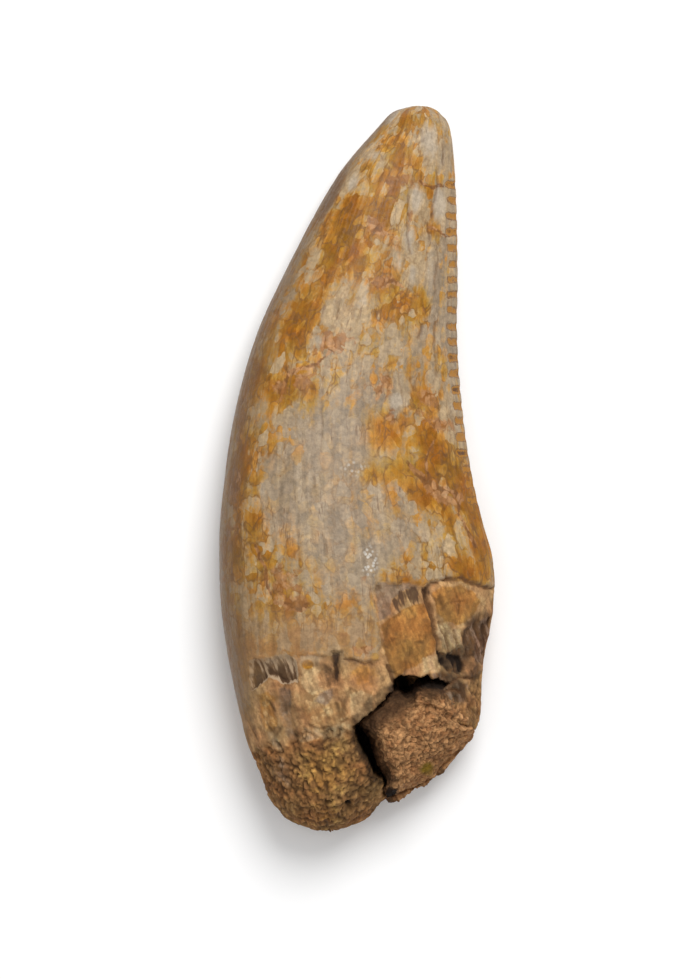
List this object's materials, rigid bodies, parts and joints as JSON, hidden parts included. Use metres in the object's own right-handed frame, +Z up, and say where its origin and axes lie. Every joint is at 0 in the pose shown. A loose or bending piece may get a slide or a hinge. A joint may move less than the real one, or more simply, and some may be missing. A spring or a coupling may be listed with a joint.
{
  "type": "fossil raptor tooth",
  "caption": "Curved, blade-like fossil theropod tooth with a serrated back edge and a broken root that shows its sandstone fill, lying on its flatter side.",
  "frame": {"origin": "on the surface that the tooth lies on, under the middle of its bounding box", "axes": "+Y from the broken root to the tip, +X towards the serrated back edge, +Z up, away from the surface it lies on"},
  "size_m": [0.009, 0.024, 0.0047],
  "materials": {
    "tooth": "satin",
    "sandstone": "matte"
  },
  "bodies": {
    "root": {"tooth": "tooth", "sandstone_fill": "sandstone"}
  },
  "joints": []
}
